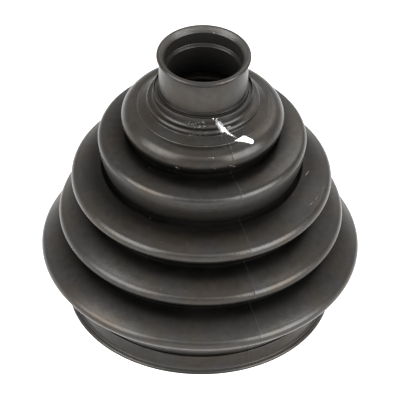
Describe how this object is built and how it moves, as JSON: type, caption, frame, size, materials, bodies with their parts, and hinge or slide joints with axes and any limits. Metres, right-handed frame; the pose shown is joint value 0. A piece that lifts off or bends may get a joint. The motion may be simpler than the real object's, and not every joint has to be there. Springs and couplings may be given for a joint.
{
  "type": "driveshaft bellows boot",
  "caption": "Rubber bellows boot that seals a driveshaft's outer joint: stepped convolutions taper from a wide ribbed cuff to a narrow neck, each end with a seat for a clamp",
  "frame": {"origin": "on the boot's axis, in the plane of the large cuff's end face, which it stands on", "axes": "+Z is the boot's axis, from the large cuff to the neck. The boot is round, so +X and +Y are free; +Y is away from the side that carries the paint mark."},
  "size_m": [0.1304, 0.1304, 0.125],
  "materials": {
    "rubber": "semi-matt moulded black rubber"
  },
  "bodies": {
    "root": {"boot": "rubber"}
  },
  "joints": []
}
